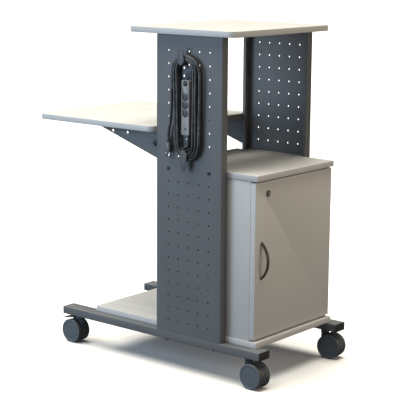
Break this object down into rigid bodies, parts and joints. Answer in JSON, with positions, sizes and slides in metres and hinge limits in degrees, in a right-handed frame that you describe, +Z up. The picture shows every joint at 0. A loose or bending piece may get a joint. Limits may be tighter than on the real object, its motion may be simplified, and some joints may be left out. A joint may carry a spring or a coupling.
{
  "type": "mobile printer stand",
  "caption": "Wheeled stand for an office printer: perforated columns, top shelf, bracketed side shelf, lockable cupboard, and a power strip with its cord wound on cleats.",
  "frame": {"origin": "on the floor, under the middle of the stand's bounding box", "axes": "+X along the base rails towards the cupboard door, -Y towards the column with the cord cleats, +Z up"},
  "size_m": [0.8719, 0.4743, 1.016],
  "materials": {
    "laminate": "light grey laminate with a faint grain, matt",
    "charcoal_steel": "charcoal powder coat, satin",
    "bright_steel": "zinc plated, satin",
    "dark_handle": "dark bronze, semi gloss",
    "cleat_grey": "dark grey, matt",
    "strip_grey": "medium grey, matt",
    "black_plastic": "black, matt",
    "cord_jacket": "black cord jacket, satin",
    "wheel_grey": "blue-grey, matt"
  },
  "bodies": {
    "stand": {"bottom_board": "laminate", "cabinet_back_panel": "laminate", "cabinet_far_panel": "laminate", "cabinet_near_panel": "laminate", "cabinet_top": "laminate", "cord_first_strand": "cord_jacket", "cord_hank": "cord_jacket", "cord_last_strand": "cord_jacket", "far_column": "charcoal_steel", "far_left_caster_stem": "bright_steel", "far_left_rail_cap": "black_plastic", "far_rail": "charcoal_steel", "far_right_caster_stem": "bright_steel", "far_right_rail_cap": "black_plastic", "far_shelf_bracket": "charcoal_steel", "far_top_angle": "charcoal_steel", "lock_strike": "bright_steel", "lower_cord_cleat": "cleat_grey", "lower_hinge_frame_leaf": "bright_steel", "near_column": "charcoal_steel", "near_left_caster_stem": "bright_steel", "near_left_rail_cap": "black_plastic", "near_rail": "charcoal_steel", "near_right_caster_stem": "bright_steel", "near_right_rail_cap": "black_plastic", "near_shelf_bracket": "charcoal_steel", "near_top_angle": "charcoal_steel", "power_plug": "cord_jacket", "side_shelf": "laminate", "strip_housing": "strip_grey", "strip_strain_relief": "cord_jacket", "top_shelf": "laminate", "upper_cord_cleat": "cleat_grey", "upper_hinge_frame_leaf": "bright_steel"},
    "door": {"cabinet_door": "laminate", "door_handle": "dark_handle", "lock_body": "bright_steel", "lower_hinge_door_leaf": "bright_steel", "upper_hinge_door_leaf": "bright_steel"},
    "lock_turner": {"lock_plug": "bright_steel", "lock_cam": "bright_steel"},
    "button": {"reset_button": "black_plastic"},
    "near_left_caster": {"near_left_caster_hood": "wheel_grey", "near_left_axle": "bright_steel"},
    "near_left_outer_wheel": {"near_left_outer_wheel": "wheel_grey"},
    "near_left_inner_wheel": {"near_left_inner_wheel": "wheel_grey"},
    "near_left_pedal": {"near_left_brake_pedal": "black_plastic"},
    "near_right_caster": {"near_right_caster_hood": "wheel_grey", "near_right_axle": "bright_steel"},
    "near_right_outer_wheel": {"near_right_outer_wheel": "wheel_grey"},
    "near_right_inner_wheel": {"near_right_inner_wheel": "wheel_grey"},
    "far_left_caster": {"far_left_caster_hood": "wheel_grey", "far_left_axle": "bright_steel"},
    "far_left_outer_wheel": {"far_left_outer_wheel": "wheel_grey"},
    "far_left_inner_wheel": {"far_left_inner_wheel": "wheel_grey"},
    "far_left_pedal": {"far_left_brake_pedal": "black_plastic"},
    "far_right_caster": {"far_right_caster_hood": "wheel_grey", "far_right_axle": "bright_steel"},
    "far_right_outer_wheel": {"far_right_outer_wheel": "wheel_grey"},
    "far_right_inner_wheel": {"far_right_inner_wheel": "wheel_grey"}
  },
  "joints": [
    {"name": "door_hinge", "type": "hinge", "parent": "stand", "child": "door", "pos_m": [0.36923, 0.1913, 0.36559], "axis": [0, 0, 1], "range_deg": [0, 110]},
    {"name": "lock_turn", "type": "hinge", "parent": "door", "child": "lock_turner", "pos_m": [0.35973, -0.1307, 0.5582], "axis": [-1, 0, 0], "range_deg": [0, 90]},
    {"name": "reset_button_press", "type": "slide", "parent": "stand", "child": "button", "axis": [0, 1, 0], "range_m": [0, 0.0015], "stiffness_N_per_m": 150},
    {"name": "near_left_swivel", "type": "hinge", "parent": "stand", "child": "near_left_caster", "pos_m": [-0.30002, -0.193, 0.07997], "axis": [0, 0, 1], "continuous": true},
    {"name": "near_left_outer_roll", "type": "hinge", "parent": "near_left_caster", "child": "near_left_outer_wheel", "pos_m": [-0.32232, -0.193, 0.03777], "axis": [0, -1, 0], "continuous": true},
    {"name": "near_left_inner_roll", "type": "hinge", "parent": "near_left_caster", "child": "near_left_inner_wheel", "pos_m": [-0.32232, -0.193, 0.03777], "axis": [0, -1, 0], "continuous": true},
    {"name": "near_left_brake", "type": "hinge", "parent": "near_left_caster", "child": "near_left_pedal", "pos_m": [-0.31583, -0.193, 0.07987], "axis": [0, -1, 0], "range_deg": [0, 8]},
    {"name": "near_right_swivel", "type": "hinge", "parent": "stand", "child": "near_right_caster", "pos_m": [0.37478, -0.193, 0.07997], "axis": [0, 0, 1], "continuous": true},
    {"name": "near_right_outer_roll", "type": "hinge", "parent": "near_right_caster", "child": "near_right_outer_wheel", "pos_m": [0.39704, -0.19417, 0.03777], "axis": [0.0523, 0.9986, 0], "continuous": true},
    {"name": "near_right_inner_roll", "type": "hinge", "parent": "near_right_caster", "child": "near_right_inner_wheel", "pos_m": [0.39704, -0.19417, 0.03777], "axis": [0.0523, 0.9986, 0], "continuous": true},
    {"name": "far_left_swivel", "type": "hinge", "parent": "stand", "child": "far_left_caster", "pos_m": [-0.30002, 0.193, 0.07997], "axis": [0, 0, 1], "continuous": true},
    {"name": "far_left_outer_roll", "type": "hinge", "parent": "far_left_caster", "child": "far_left_outer_wheel", "pos_m": [-0.32232, 0.193, 0.03777], "axis": [0, -1, 0], "continuous": true},
    {"name": "far_left_inner_roll", "type": "hinge", "parent": "far_left_caster", "child": "far_left_inner_wheel", "pos_m": [-0.32232, 0.193, 0.03777], "axis": [0, -1, 0], "continuous": true},
    {"name": "far_left_brake", "type": "hinge", "parent": "far_left_caster", "child": "far_left_pedal", "pos_m": [-0.31583, 0.193, 0.07987], "axis": [0, -1, 0], "range_deg": [0, 8]},
    {"name": "far_right_swivel", "type": "hinge", "parent": "stand", "child": "far_right_caster", "pos_m": [0.37478, 0.193, 0.07997], "axis": [0, 0, 1], "continuous": true},
    {"name": "far_right_outer_roll", "type": "hinge", "parent": "far_right_caster", "child": "far_right_outer_wheel", "pos_m": [0.39695, 0.19533, 0.03777], "axis": [-0.1045, 0.9945, 0], "continuous": true},
    {"name": "far_right_inner_roll", "type": "hinge", "parent": "far_right_caster", "child": "far_right_inner_wheel", "pos_m": [0.39695, 0.19533, 0.03777], "axis": [-0.1045, 0.9945, 0], "continuous": true}
  ]
}
